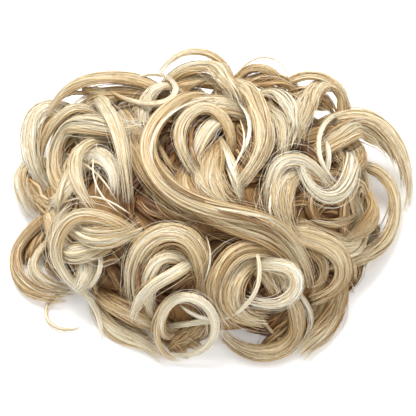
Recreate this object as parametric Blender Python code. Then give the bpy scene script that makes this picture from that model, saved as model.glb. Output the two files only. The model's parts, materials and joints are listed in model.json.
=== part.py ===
"""A top knot hairpiece of curled locks on a net cap, lying on a table with its crown up.

Metres in Blender, +Z up, the front towards -Y and the widest way along X. The origin is on the table
under the middle of the piece. Sizes below are in millimetres and go through MM where a mesh is made.

The curls are charted the way a wig maker marks them on a picture: each lock is a row of marks on a
chart plane that is seen from one side, and its curve is thrown onto the nest of hair from there.
settle() then lets the locks push each other apart, until none lies inside another.
"""

import math
from collections import namedtuple

import bmesh
import bpy
import numpy as np

MM = 0.001
GAP = 0.35  # clear space between two neighbouring pieces
ROOT_GAP = 0.2  # the same between a lock's root and the nest, whose flats lie a little inside its dome

# The net cap that everything is sewn to: a shallow oval dome on an elastic rim.
CAP_HALF_WIDE = 61.0
CAP_HALF_DEEP = 49.0
CAP_RISE = 32.0
CAP_WALL = 1.6
RIM_TALL = 6.0
RIM_THICK = 2.6

# The nest is the dense short hair sewn over the cap. The locks lie on it.
NEST_HALF_WIDE = 78.0
NEST_HALF_DEEP = 60.0
NEST_TALL = 54.0
NEST_FOOT = 0.8  # how far its lower edge clears the table

# The two combs sit inside the rim, at the front and at the back.
COMB_TEETH = 10
COMB_PITCH = 4.6
COMB_TOOTH_WIDE = 2.2
COMB_SPINE = (7.2, 12.5)  # lowest and highest edge of the spine
COMB_TIP = 30.0
COMB_THICK = 1.6

# The locks.
SAMPLE = 1.5  # spacing of the points that the locks settle on
RING_SPACING = 6.6  # spacing of a tube's rings
BEVEL_RESOLUTION = 1  # gives a tube six sides
LOCK_CLEAR = 0.7  # clear space aimed at while settling
SETTLE_STEPS = 400
FIRM_STEPS = 150  # the last ones, in which nothing pulls the locks back
HELD_BACK = 0.995  # share of a lock's shift that each earlier step keeps
FIRM_SMOOTHING = 5  # steps between two smoothings in the firm ones
PAIR_STEPS = 8  # steps for which a list of near points holds
PAIR_REACH = 4.0  # how near two locks must be to be on it
OWN_REACH = 2.6  # how far along itself a lock may be touched by itself, in its own widths
PUSH_OUT = 0.5  # how much of a push goes out of or into the nest
PUSH_GAIN = 1.4
TABLE_GAP = 0.15
ROOT_SHARE = 0.8  # a lock's width at its root and at its tip, as shares of its full width
TIP_SHARE = 0.45
CHART_CENTRE = np.array([0.0, 0.0, 21.0])
CHART_DISTANCE = 790.0
CURVE_POINTS = 12  # points between two of a lock's marks
RISE_PLACES = [0, 0.22, 0.6, 1]  # where along a lock its height above the nest is set
EARLY_RISE = 0.8  # height at the second of them, as a share of the middle's
FLAT_SMOOTHING = 4  # rounds, on the chart, then on the nest, then with the root's stretch
NEST_SMOOTHING = 10
WHOLE_SMOOTHING = 8
ROOT_LEAN = 0.5  # how far back along its own way a lock is sewn, as a share of its start's height
ROOT_BEND = 0.4
ROOT_ROUNDS = 6  # rounds in which the sewn point nears the nest's face
SAME_HEIGHT = 0.01  # tells two locks of one height apart by their order
ARC_SPACING = 25  # degrees between an arc's marks
ROOT_POINTS = 12

# Each chart is a side that the piece is seen from: degrees round from the front, and above the table.
Chart = namedtuple("Chart", "azimuth elevation")
CHARTS = {
    "front": Chart(0, 60),
    "right": Chart(90, 14),
    "left": Chart(-90, 14),
    "back": Chart(180, 18),
}

Lock = namedtuple("Lock", "name tone half rise_mid rise_tip chart marks")


def arc(across, up, radius, end_radius, start, turn):
    """Marks along an arc: its centre, its radius at each end, where it starts and how far it turns.

    Angles are in degrees: 0 is to the right, 90 up, and a positive turn is anticlockwise.
    """
    count = max(4, round(abs(turn) / ARC_SPACING) + 1)
    angle = np.radians(np.linspace(start, start + turn, count))
    far = np.linspace(radius, end_radius, count)
    return list(zip(across + far * np.cos(angle), up + far * np.sin(angle)))


# Each lock: its finish, half its width, how high its middle and its tip lie above the nest, and its
# marks on the chart from root to tip, across and up from the chart's middle. All in millimetres.
LOCKS = [
    Lock("front_ring_right", "pale", 2.8, 17, 16, "front", [
         (16, -28.5), (23.5, -25), (32, -24), (39, -27), (44, -33), (45.5, -40), (42.5, -46.5),
         (36, -50), (28, -51), (20.5, -48.5)]),
    Lock("front_ring_wrap", "tan", 3.3, 9, 6, "front", [
         (43, -28.5), (38, -23), (29.5, -20.5), (19.5, -21), (11, -24.5), (4, -30.5), (0, -38.5),
         (0.5, -47), (3.5, -54), (8.5, -58.5)]),
    Lock("front_ring_inner", "honey", 3.4, 11, 9, "front", [
         (25.5, -24.5), (17.5, -26), (11, -31), (7.5, -38.5), (7.5, -46.5), (11, -53.5), (17.5, -57.5),
         (24.5, -58)]),
    Lock("front_low_ring", "honey", 3.2, 3, 4, "front", [
         (40, -46), (45, -52), (47, -60), (43.5, -68), (36, -73.5), (26, -75.5), (16.5, -73.5),
         (9.5, -69), (5.5, -63.5)]),
    Lock("right_low_curl", "cream", 3.2, 12, 8, "front", [
         (36.5, -13.5), (46.5, -14), (56, -16.5), (63.5, -22), (67.5, -29.5), (67, -38), (61, -44),
         (53, -47)]),
    Lock("right_low_skirt", "tan", 4.0, 3, 2, "front", [
         (65.5, -41), (64.5, -49), (60, -57.5), (53.5, -65), (46, -71.5)]),
    Lock("river_upper", "cream", 3.3, 16, 12, "front", [
         (8.5, 54), (0.5, 54.5), (-8, 53.5), (-17, 50.5), (-25, 46), (-30.5, 39), (-33, 31),
         (-32.5, 23), (-29, 15.5), (-23, 8.5), (-14.5, 3), (-4, -1.5), (7, -4), (17.5, -6.5),
         (27.5, -10), (36, -15.5), (43, -22.5), (47.5, -30.5), (49.5, -37.5)]),
    Lock("river_middle", "tan", 3.8, 10, 11, "front", [
         (-11.5, 19.5), (-17, 18), (-19.5, 12.5), (-17, 6.5), (-10, 1.5), (0, -4.5), (11.5, -10.5),
         (23.5, -14.5), (34, -19), (41.5, -26.5), (45.5, -35.5)]),
    Lock("centre_left_outer", "cream", 3.6, 12, 8, "front", [
         (-3, -43.5), (-2, -33.5), (-3.5, -24.5), (-8, -17.5), (-14.5, -13.5), (-21.5, -12.5),
         (-28.5, -15), (-34.5, -21), (-38.5, -28.5), (-40, -37), (-39, -45)]),
    Lock("centre_left_inner", "pale", 3.4, 14, 7, "front", [
         (-7.5, -30.5), (-10.5, -24), (-16.5, -21), (-23, -22.5), (-28.5, -27.5), (-31.5, -35),
         (-33, -42), (-32, -49), (-29, -54.5)]),
    Lock("centre_cross", "pale", 1.9, 20, 12, "front", [
         (-6.5, -26.5), (-11, -31.5), (-19, -34.5), (-26.5, -37.5), (-33, -42), (-37.5, -47.5),
         (-39, -54.5)]),
    Lock("bottom_ring", "pale", 2.8, 13, 13, "front", [
         (-21, -72.5), (-25.5, -67.5), (-27.5, -59.5), (-25, -51), (-19, -45.5), (-11, -43.5),
         (-3.5, -46), (2, -52), (4, -60), (2, -68), (-3.5, -74), (-11.5, -76.5), (-18.5, -75.5)]),
    Lock("low_left_band", "honey", 3.2, 1, 1, "front", [
         (-59.5, -50), (-56.5, -57), (-50.5, -62), (-42, -65), (-33, -67.5), (-25.5, -72)]),
    Lock("low_left_under", "tan", 3.4, 6, 5, "front", [
         (-57, -45.5), (-49.5, -50), (-41, -53.5), (-32, -58), (-24, -63)]),
    Lock("left_low_outer", "tan", 3.4, 2, 2, "front", [
         (-79.5, -4), (-87.5, -8), (-94, -14), (-97.5, -21.5), (-98.5, -29.5), (-96, -37),
         (-90.5, -42.5), (-83.5, -45.5), (-76.5, -45.5)]),
    Lock("left_low_inner", "cream", 2.9, 5, 3, "front", [
         (-80, -15.5), (-86.5, -19), (-90.5, -25), (-91.5, -32), (-89, -38), (-83.5, -41.5),
         (-76.5, -43), (-71, -43)]),
    Lock("left_ring", "cream", 2.6, 14, 9, "front", [
         (-35.5, -16.5), (-41.5, -11), (-48.5, -6.5), (-56.5, -3.5), (-65, -3.5), (-72, -7.5),
         (-76.5, -14), (-78.5, -21.5), (-77, -29), (-73.5, -35.5), (-68, -41), (-61.5, -46)]),
    Lock("left_ring_belly", "cream", 3.6, 8, 8, "front", [
         (-72, -8.5), (-66, -14), (-58.5, -17.5), (-50.5, -18.5), (-43, -16.5), (-37.5, -13)]),
    Lock("left_ring_drop", "pale", 3.4, 6, 9, "front", [
         (-63.5, -21.5), (-61, -27.5), (-61.5, -34), (-65, -40.5)]),
    Lock("left_top_band", "honey", 3.0, 8, 3, "front", [
         (-57.5, 48.5), (-64.5, 49.5), (-72, 47.5), (-77.5, 43), (-81, 37), (-82.5, 29.5), (-81.5, 22.5)]),
    Lock("left_big_wrap", "cream", 3.6, 10, 15, "front", [
         (-72.5, 6.5), (-78.5, 10), (-82, 16.5), (-82.5, 23.5), (-79, 29.5), (-72.5, 34), (-64, 37.5),
         (-54.5, 39), (-45, 40), (-36, 40)]),
    Lock("left_eye_outer", "honey", 2.4, 16, 12, "front", [
         (-49, 33), (-56, 35), (-63, 33), (-67.5, 28), (-69.5, 21), (-68.5, 13.5), (-65.5, 6),
         (-61.5, -0.5)]),
    Lock("left_eye_inner", "pale", 2.6, 10, 8, "front", [
         (-66, 16.5), (-64.5, 23), (-59.5, 26), (-54, 25.5), (-49.5, 21.5), (-47.5, 15.5), (-48, 8.5)]),
    Lock("left_slant", "pale", 2.6, 17, 9, "front", [
         (-62.5, 56.5), (-58, 53.5), (-53, 48), (-49, 42.5), (-45.5, 35.5), (-44, 27.5), (-43, 19),
         (-42, 10.5), (-41.5, 5)]),
    Lock("left_edge_low", "tan", 3.4, 2, 3, "front", [
         (-92, 23), (-95.5, 16.5), (-96.5, 9), (-94.5, 2), (-90, -3)]),
    Lock("left_edge", "pale", 4.2, 3, 2, "front", [
         (-77.5, 51), (-83.5, 47.5), (-88, 42.5), (-90.5, 35.5), (-91, 27.5), (-90, 19.5),
         (-86.5, 12.5), (-81.5, 7)]),
    Lock("centre_slant", "tan", 3.4, 6, 4, "front", [
         (-46.5, 53), (-43.5, 45), (-40.5, 36.5), (-36.5, 27.5), (-31.5, 17.5), (-25, 8.5), (-17, 1),
         (-8.5, -5.5)]),
    Lock("crown_ring_left", "cream", 2.8, 15, 9, "front", [
         (11, 29), (13.5, 35.5), (12, 42.5), (7.5, 48), (0.5, 51), (-6.5, 50), (-13, 45.5), (-17, 38.5),
         (-17, 31), (-14.5, 24), (-10.5, 18)]),
    Lock("crown_ring_right", "cream", 3.6, 12, 9, "front", [
         (1.5, 56.5), (9, 55), (16.5, 52), (22.5, 46.5), (26, 39), (26.5, 31), (24, 23.5), (19.5, 17),
         (14.5, 11.5)]),
    Lock("crown_fold", "pale", 2.8, 9, 7, "front", [
         (12.5, 47.5), (5.5, 44), (-0.5, 38), (-5, 31), (-8.5, 24), (-10.5, 18)]),
    Lock("crown_fold_low", "honey", 4.4, 6, 8, "front", [
         (1.5, 32), (-2, 25.5), (-3.5, 18.5), (-2, 11.5), (2.5, 5), (8.5, -0.5)]),
    Lock("crown_right_hook", "cream", 2.6, 8, 5, "front", [
         (24, 49), (30, 48.5), (35, 44.5), (37.5, 38), (37.5, 31.5), (35.5, 26)]),
    Lock("right_arch", "pale", 2.7, 13, 10, "front", [
         (28.5, -1), (26.5, 7), (27.5, 15), (31.5, 21), (38, 24.5), (44.5, 24.5), (50.5, 21), (55, 16),
         (59, 10)]),
    Lock("right_drop", "cream", 4.0, 7, 4, "front", [
         (44.5, 21), (38.5, 17.5), (35, 11), (34, 3), (36, -5), (40, -13)]),
    Lock("right_inner", "tan", 3.0, 5, 4, "front", [
         (73.5, 12.5), (79.5, 7), (81.5, 0), (79.5, -7.5), (75, -14), (69.5, -20.5)]),
    Lock("right_outer", "honey", 3.4, 7, 2, "front", [
         (56, 43), (63.5, 46.5), (72, 47), (80, 44), (87, 38.5), (92.5, 31), (96, 23.5), (97.5, 15.5),
         (97, 7), (94.5, 0)]),
    Lock("right_c", "honey", 3.4, 10, 3, "front", [
         (70, 21), (76, 24), (83, 23), (89, 17.5), (92.5, 9.5), (93.5, 0.5), (92, -8.5), (88.5, -16.5),
         (82.5, -22.5), (75.5, -26.5), (68.5, -28.5)]),
    Lock("right_u", "pale", 3.0, 15, 14, "front", [
         (68, 29.5), (70, 22.5), (70, 14.5), (68, 7.5), (63, 2.5), (56.5, 1), (51, 4), (48, 9.5),
         (45.5, 15.5)]),
    Lock("right_hoop_band", "cream", 3.4, 10, 6, "front", [
         (52, 27), (59, 31.5), (67, 33.5), (75, 33.5), (82, 31.5), (87.5, 27)]),
    Lock("top_right_slant", "cream", 3.7, 11, 5, "front", [
         (69.5, 48.5), (67.5, 56), (63.5, 62), (57.5, 64), (52.5, 59), (48, 51), (43, 41.5), (38, 31)]),
    Lock("top_left_band", "honey", 3.3, 7, 3, "front", [
         (-24, 59.5), (-32, 62.5), (-40.5, 63.5), (-49.5, 63), (-58, 62), (-66, 60), (-73, 56.5),
         (-78.5, 50.5), (-82, 43.5)]),
    Lock("top_arch", "honey", 2.4, 8, 7, "front", [
         (9, 62.5), (7.5, 68.5), (3.5, 73.5), (-3, 77), (-10.5, 77.5), (-17, 75), (-21.5, 70.5),
         (-24, 65.5)]),
    Lock("top_left_post", "pale", 2.8, 10, 7, "front", [
         (-16.5, 61.5), (-24, 61), (-30, 58), (-33.5, 52.5), (-34.5, 46), (-33.5, 39.5)]),
    Lock("top_right_arch", "tan", 2.8, 7, 5, "front", [
         (16.5, 66.5), (20.5, 69.5), (27, 69.5), (32.5, 66.5), (36.5, 61.5), (38.5, 55.5)]),
    Lock("top_right_pale", "pale", 3.1, 10, 8, "front", [
         (16, 54.5), (24, 57), (32, 55.5), (38, 51), (41.5, 44.5), (41, 38)]),
    Lock("top_saddle", "cream", 3.4, 8, 9, "front", [
         (-24.5, 63), (-18, 66.5), (-10.5, 67.5), (-3, 66), (4, 62), (9.5, 56.5), (13.5, 50.5)]),
    Lock("side_left_curl", "honey", 3.4, 4, 3, "left", arc(-22, -2, 15, 9, 95, 300)),
    Lock("side_left_sweep", "cream", 3.4, 6, 3, "left", arc(20, -4, 20, 13, 60, -220)),
    Lock("side_right_curl", "tan", 3.4, 5, 4, "right", arc(24, -2, 15, 9, 85, -300)),
    Lock("side_right_sweep", "cream", 3.4, 4, 3, "right", arc(-18, -4, 17, 12, 120, 230)),
    Lock("back_wave", "cream", 3.4, 6, 5, "back", arc(0, -36, 56, 56, 116, -52)),
    Lock("back_curl_1", "honey", 3.4, 4, 5, "back", arc(-53, -3, 17, 9, 80, 300)),
    Lock("back_curl_2", "cream", 3.4, 5, 6, "back", arc(-18, -1, 17, 9, 100, -310)),
    Lock("back_curl_3", "tan", 3.4, 4, 5, "back", arc(17, -4, 16, 9, 75, 300)),
    Lock("back_curl_4", "pale", 3.4, 5, 6, "back", arc(52, -5, 17, 9, 85, -310)),
]

# Colour and roughness of each finish.
FINISHES = {
    "pale": ((0.86, 0.78, 0.63), 0.42),
    "cream": ((0.76, 0.65, 0.46), 0.45),
    "honey": ((0.66, 0.52, 0.32), 0.45),
    "tan": ((0.52, 0.39, 0.24), 0.48),
    "nest": ((0.34, 0.24, 0.14), 0.55),
    "net": ((0.30, 0.23, 0.15), 0.8),
    "elastic": ((0.24, 0.18, 0.12), 0.85),
    "comb": ((0.20, 0.13, 0.08), 0.3),
}


def finish(name):
    """The material of that name, made the first time it is asked for."""
    if name in bpy.data.materials:
        return bpy.data.materials[name]
    colour, roughness = FINISHES[name]
    material = bpy.data.materials.new(name)
    material.use_nodes = True
    shader = material.node_tree.nodes["Principled BSDF"]
    shader.inputs["Base Color"].default_value = (*colour, 1)
    shader.inputs["Roughness"].default_value = roughness
    shader.inputs["Metallic"].default_value = 0
    return material


def add_object(name, data, material):
    obj = bpy.data.objects.new(name, data)
    obj.data.materials.append(finish(material))
    bpy.context.scene.collection.objects.link(obj)
    return obj


def chart_axes(chart):
    """Unit vectors of a chart: to the right, up, and towards the eye."""
    azimuth = math.radians(chart.azimuth)
    elevation = math.radians(chart.elevation)
    right = np.array([math.cos(azimuth), math.sin(azimuth), 0.0])
    towards = np.array([
        math.sin(azimuth) * math.cos(elevation),
        -math.cos(azimuth) * math.cos(elevation),
        math.sin(elevation),
    ])
    return right, np.cross(towards, right), towards


def thrown_on_nest(flat, lift, chart):
    """Chart points carried along the eye's rays to the nest, lift above it, or to the table beside it."""
    right, up, towards = chart_axes(chart)
    eye = CHART_CENTRE + towards * CHART_DISTANCE
    ray = CHART_CENTRE + flat[:, :1] * right + flat[:, 1:] * up - eye
    ray /= np.linalg.norm(ray, axis=1)[:, None]
    halves = np.array([NEST_HALF_WIDE, NEST_HALF_DEEP, NEST_TALL]) + lift[:, None]
    start, way = eye / halves, ray / halves
    a = (way * way).sum(1)
    b = (start * way).sum(1)
    c = (start * start).sum(1) - 1
    reach = (-b - np.sqrt(np.maximum(b * b - a * c, 0))) / a
    points = eye + ray * reach[:, None]
    table = lift.clip(0, 6) + 0.2
    low = points[:, 2] < table
    reach_table = (table - eye[2]) / ray[:, 2]
    points[low] = (eye + ray * reach_table[:, None])[low]
    return points


def evenly(points, spacing):
    """Points at an even spacing along a path."""
    along = np.r_[0, np.cumsum(np.linalg.norm(np.diff(points, axis=0), axis=1))]
    wanted = np.linspace(0, along[-1], max(4, round(along[-1] / spacing) + 1))
    return np.stack([np.interp(wanted, along, points[:, k]) for k in range(points.shape[1])], 1)


def smoothed(points, rounds):
    for _ in range(rounds):
        points[1:-1] += (points[:-2] - 2 * points[1:-1] + points[2:]) / 4
    return points


def through_marks(marks):
    """Points on a smooth curve through a lock's marks."""
    marks = np.array(marks, float)
    ahead = np.gradient(marks, axis=0)
    t = np.linspace(0, 1, CURVE_POINTS, endpoint=False)[:, None]
    rising = 3 * t**2 - 2 * t**3
    parts = [(1 - rising) * a + (t**3 - 2 * t**2 + t) * p + rising * b + (t**3 - t**2) * q
             for a, b, p, q in zip(marks, marks[1:], ahead, ahead[1:])]
    return np.concatenate([*parts, marks[-1:]])


def lock_path(lock):
    """The middle line of a lock where it is charted, before it settles."""
    flat = smoothed(evenly(through_marks(lock.marks), SAMPLE), FLAT_SMOOTHING)
    share = np.linspace(0, 1, len(flat))
    rise = np.interp(share, RISE_PLACES, [0, lock.rise_mid * EARLY_RISE, lock.rise_mid, lock.rise_tip])
    path = smoothed(thrown_on_nest(flat, lock.half + GAP + rise, CHARTS[lock.chart]), NEST_SMOOTHING)
    return smoothed(evenly(np.concatenate([root_run(lock, path), path]), SAMPLE), WHOLE_SMOOTHING)


def root_run(lock, path):
    """The stretch that leads a lock from where it is sewn, on the nest, to its charted start."""
    start = path[:1]
    height = nest_height(start)[0][0]
    way = path[0] - path[3]
    sewn = start + way / np.linalg.norm(way) * height * ROOT_LEAN
    for _ in range(ROOT_ROUNDS):
        above, out = nest_height(sewn)
        sewn = sewn - out * (above - ROOT_SHARE * lock.half - GAP)[:, None]
    bend = (start + way / np.linalg.norm(way) * height * ROOT_BEND + sewn) / 2
    share = np.linspace(0, 1, ROOT_POINTS, endpoint=False)[:, None]
    return (1 - share) ** 2 * sewn + 2 * share * (1 - share) * bend + share**2 * start


def half_along(lock, share):
    """Half the lock's width at a share of its length: full in the middle, drawn in at root and tip."""
    return lock.half * np.interp(share, [0, 0.12, 0.7, 1], [ROOT_SHARE, 1, 1, TIP_SHARE])


def nest_height(points, inside=0.0):
    """How far each point lies above the nest, and which way is out."""
    halves = np.array([NEST_HALF_WIDE, NEST_HALF_DEEP, NEST_TALL]) - inside
    level = np.linalg.norm(points / halves, axis=1)
    outward = points / halves**2
    slope = np.linalg.norm(outward, axis=1)
    return (level - 1) * level / slope, outward / slope[:, None]


def ring_places(path):
    """Which points of a path get one of its tube's rings."""
    rings = max(4, round(len(path) * SAMPLE / RING_SPACING) + 1)
    return np.round(np.linspace(0, len(path) - 1, rings)).astype(int)


def between_rings(path):
    """The path as its tube follows it, straight from ring to ring."""
    places = ring_places(path)
    return np.stack([np.interp(np.arange(len(path)), places, path[places, k]) for k in range(3)], 1)


def close_pairs(points, half, owner, index):
    """Pairs of points that are near enough to touch soon: of two locks, or far apart along one."""
    first, second = [], []
    for i in range(len(points)):
        apart = np.linalg.norm(points[i + 1:] - points[i], axis=1)
        reach = half[i + 1:] + half[i]
        other = owner[i + 1:] != owner[i]
        far_along = (index[i + 1:] - index[i]) * SAMPLE > OWN_REACH * reach
        near = np.nonzero((apart < reach + PAIR_REACH) & (other | far_along))[0]
        first.append(np.full(len(near), i))
        second.append(near + i + 1)
    return np.concatenate(first), np.concatenate(second)


def settle(locks):
    """Pushes the locks apart, off the nest and off the table, and returns their middle lines."""
    paths = [lock_path(lock) for lock in locks]
    halves = [half_along(lock, np.linspace(0, 1, len(path))) for lock, path in zip(locks, paths)]
    charted = np.concatenate(paths)
    half = np.concatenate(halves)
    owner = np.concatenate([np.full(len(path), k) for k, path in enumerate(paths)])
    index = np.concatenate([np.arange(len(path)) for path in paths])
    ends = np.cumsum([len(path) for path in paths])[:-1]
    roots = np.r_[0, ends]
    height = nest_height(charted)[0]
    shift = np.zeros_like(charted)

    def along_tubes(points):
        return np.concatenate([between_rings(path) for path in np.split(points, ends)])

    for step in range(SETTLE_STEPS):
        if step % PAIR_STEPS == 0:
            first, second = close_pairs(along_tubes(charted + shift), half, owner, index)
            above = np.sign(height[first] - height[second] + SAME_HEIGHT * (owner[first] - owner[second]))
        points = along_tubes(charted + shift)
        out = nest_height(points)[1]
        apart = points[first] - points[second]
        distance = np.linalg.norm(apart, axis=1)
        short = half[first] + half[second] + LOCK_CLEAR - distance
        tight = short > 0
        way = apart[tight] + out[first[tight]] * (above * (half[first] + half[second]))[tight, None] * PUSH_OUT
        way /= np.linalg.norm(way, axis=1)[:, None]
        push = way * short[tight, None] * 0.5
        moved = np.zeros_like(points)
        count = np.zeros(len(points))
        np.add.at(moved, first[tight], push)
        np.add.at(moved, second[tight], -push)
        np.add.at(count, first[tight], 1)
        np.add.at(count, second[tight], 1)
        shift += moved / np.maximum(count, 1)[:, None] * PUSH_GAIN
        firm = step > SETTLE_STEPS - FIRM_STEPS
        if not firm:
            shift *= HELD_BACK
        if not firm or step % FIRM_SMOOTHING == 0:
            shift = np.concatenate([smoothed(part, 1) for part in np.split(shift, ends)])
        points = along_tubes(charted + shift)
        above_nest, out = nest_height(points)
        lean = points[roots + 1] - points[roots]
        steep = (lean * out[roots]).sum(1) / np.linalg.norm(lean, axis=1)
        lifted = np.maximum(half + GAP - above_nest, 0)
        lifted[roots] = half[roots] * np.sqrt(1 - steep**2) + ROOT_GAP - above_nest[roots]
        shift += out * lifted[:, None]
        low = np.maximum(half + TABLE_GAP - (charted + shift)[:, 2], 0)
        shift[:, 2] += low
    return np.split(charted + shift, ends)


def lock_object(lock, path):
    """A lock's solid: a tube along its middle line, with closed ends."""
    rings = path[ring_places(path)]
    curve = bpy.data.curves.new(lock.name, "CURVE")
    curve.dimensions = "3D"
    curve.bevel_depth = MM
    curve.bevel_resolution = BEVEL_RESOLUTION
    curve.use_fill_caps = True
    curve.twist_mode = "MINIMUM"
    spline = curve.splines.new("POLY")
    spline.points.add(len(rings) - 1)
    half = half_along(lock, ring_places(path) / (len(path) - 1))
    for point, place, size in zip(spline.points, rings * MM, half):
        point.co = (*place, 1)
        point.radius = size
    return add_object(lock.name, curve, lock.tone)


def spun(name, profile, squash, material, steps=32):
    """A closed profile, in millimetres from the axis and up, spun round Z and squashed along Y."""
    shell = bmesh.new()
    corners = [shell.verts.new((out * MM, 0, up * MM)) for out, up in profile]
    edges = [shell.edges.new((a, b)) for a, b in zip(corners, corners[1:] + corners[:1])
             if a.co.x > 0 or b.co.x > 0]
    bmesh.ops.spin(shell, geom=corners + edges, axis=(0, 0, 1), cent=(0, 0, 0), steps=steps,
                   angle=2 * math.pi, use_merge=True)
    bmesh.ops.remove_doubles(shell, verts=shell.verts, dist=1e-6)
    bmesh.ops.scale(shell, vec=(1, squash, 1), verts=shell.verts)
    bmesh.ops.recalc_face_normals(shell, faces=shell.faces)
    mesh = bpy.data.meshes.new(name)
    shell.to_mesh(mesh)
    shell.free()
    mesh.shade_smooth()
    mesh.set_sharp_from_angle(angle=math.radians(40))
    return add_object(name, mesh, material)


def dome_line(half_wide, foot, rise, count, end=90):
    """Points up a quarter of an ellipse, from its foot towards the pole, which lies on the axis."""
    angles = np.radians(np.linspace(0, end, count))
    return [(max(half_wide * math.cos(t), 0) if t < math.pi / 2 - 1e-6 else 0.0, foot + rise * math.sin(t))
            for t in angles]


CAP_SQUASH = CAP_HALF_DEEP / CAP_HALF_WIDE
CAP_FOOT = RIM_TALL + GAP


def net_cap():
    outer = dome_line(CAP_HALF_WIDE, CAP_FOOT, CAP_RISE, 8)
    inner = dome_line(CAP_HALF_WIDE - CAP_WALL, CAP_FOOT, CAP_RISE - CAP_WALL, 8)
    return spun("net_cap", outer + inner[::-1], CAP_SQUASH, "net")


def elastic_rim():
    outer, inner, bulge = CAP_HALF_WIDE, CAP_HALF_WIDE - RIM_THICK, 0.5
    profile = [(inner, 0), (outer - bulge, 0), (outer, bulge * 2), (outer, RIM_TALL - bulge * 2),
               (outer - bulge, RIM_TALL), (inner, RIM_TALL)]
    return spun("elastic_rim", profile, CAP_SQUASH, "elastic")


def hair_nest():
    """The nest's outside is the dome that the locks lie on, and its inside clears the cap and the rim."""
    squash = NEST_HALF_DEEP / NEST_HALF_WIDE
    clear = GAP / CAP_SQUASH
    inner_wide = max(CAP_HALF_WIDE, CAP_HALF_DEEP / squash) + clear
    outer = dome_line(NEST_HALF_WIDE, 0, NEST_TALL, 10)
    outer[0] = (NEST_HALF_WIDE, NEST_FOOT)
    inner = [(inner_wide, NEST_FOOT)] + dome_line(inner_wide, CAP_FOOT, CAP_RISE + GAP + 0.3, 8)
    return spun("hair_nest", outer + inner[::-1], squash, "nest", 36)


def comb(name, side):
    """A curved plastic comb that follows the cap's inside. side is -1 for the front and 1 for the back."""
    half_wide = CAP_HALF_WIDE - max(CAP_WALL, RIM_THICK) - GAP - 0.4
    half_deep = half_wide * CAP_SQUASH
    rise = CAP_RISE - CAP_WALL - GAP - 0.6
    edges = []
    for tooth in range(COMB_TEETH):
        middle = (tooth - (COMB_TEETH - 1) / 2) * COMB_PITCH
        edges += [middle - COMB_TOOTH_WIDE / 2, middle + COMB_TOOTH_WIDE / 2]
    levels = [*COMB_SPINE, 20.0, 26.0, COMB_TIP]
    sheet = bmesh.new()
    grid = {}
    for column, across in enumerate(edges):
        middle = (edges[column // 2 * 2] + edges[column // 2 * 2 + 1]) / 2
        for row, up in enumerate(levels):
            drawn_in = 0.45 if up == COMB_TIP else 1.0
            x = middle + (across - middle) * drawn_in
            share = (up - CAP_FOOT) / rise
            depth = half_deep * math.sqrt(max(1 - share**2 - (x / half_wide) ** 2, 0))
            grid[column, row] = sheet.verts.new((x * MM, side * depth * MM, up * MM))
    for column in range(len(edges) - 1):
        rows = len(levels) - 1 if column % 2 == 0 else 1
        for row in range(rows):
            sheet.faces.new([grid[column, row], grid[column + 1, row],
                             grid[column + 1, row + 1], grid[column, row + 1]])
    if side > 0:
        bmesh.ops.reverse_faces(sheet, faces=sheet.faces)
    mesh = bpy.data.meshes.new(name)
    sheet.to_mesh(mesh)
    sheet.free()
    obj = add_object(name, mesh, "comb")
    wall = obj.modifiers.new("wall", "SOLIDIFY")
    wall.thickness = COMB_THICK * MM
    wall.offset = -1
    return obj


def main():
    for obj in list(bpy.data.objects):
        bpy.data.objects.remove(obj)
    net_cap()
    elastic_rim()
    hair_nest()
    comb("comb_front", -1)
    comb("comb_back", 1)
    for lock, path in zip(LOCKS, settle(LOCKS)):
        lock_object(lock, path)


main()
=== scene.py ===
"""The looks of a top knot hairpiece: every curl as a lock of fine blonde strands, over a nest of short hair.

Metres, +Z up. Each lock's strands follow the middle line of its own solid, which is read from the frame.
"""

import json
import math
from collections import defaultdict, namedtuple

import bpy
import numpy as np
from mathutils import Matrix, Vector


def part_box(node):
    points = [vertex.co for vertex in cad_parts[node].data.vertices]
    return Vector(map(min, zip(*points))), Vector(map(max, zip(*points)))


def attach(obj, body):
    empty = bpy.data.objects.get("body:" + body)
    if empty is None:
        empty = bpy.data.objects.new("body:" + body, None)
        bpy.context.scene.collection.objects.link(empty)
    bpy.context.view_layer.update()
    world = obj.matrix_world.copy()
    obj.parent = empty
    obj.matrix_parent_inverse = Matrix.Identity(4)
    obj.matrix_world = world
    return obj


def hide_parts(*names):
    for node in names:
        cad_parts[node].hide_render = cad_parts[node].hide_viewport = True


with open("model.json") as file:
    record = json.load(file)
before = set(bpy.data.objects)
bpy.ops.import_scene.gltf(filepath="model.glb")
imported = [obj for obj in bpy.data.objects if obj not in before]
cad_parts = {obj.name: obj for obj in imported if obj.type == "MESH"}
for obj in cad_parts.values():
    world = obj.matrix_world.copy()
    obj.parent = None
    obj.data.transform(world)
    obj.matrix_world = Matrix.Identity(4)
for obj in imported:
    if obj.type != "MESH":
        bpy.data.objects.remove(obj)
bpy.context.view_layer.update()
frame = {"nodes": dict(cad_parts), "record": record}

NODES = frame["nodes"]
SLOTS = {part["node"]: part["material_slot"] for part in frame["record"]["subparts"]}
MM = 0.001

# The camera: 60 degrees above the table, in front, with a long lens. One pixel is half a millimetre.
CAMERA_ELEVATION = math.radians(60)
CAMERA_DISTANCE = 0.79
CAMERA_SHIFT = (-1.5 * MM, -1.5 * MM)  # how far right of the chart's middle, and up from it, the camera aims
FRAME_WIDE = 208 * MM
SENSOR = 36.0
TOWARDS_CAMERA = np.array([0.0, -math.cos(CAMERA_ELEVATION), math.sin(CAMERA_ELEVATION)])
PICTURE_UP = np.array([0.0, math.sin(CAMERA_ELEVATION), math.cos(CAMERA_ELEVATION)])
PICTURE_RIGHT = np.array([1.0, 0.0, 0.0])
CHART_MIDDLE = np.array([0.0, 0.0, 21 * MM])  # the picture plane's middle, where marks are measured from

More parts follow.
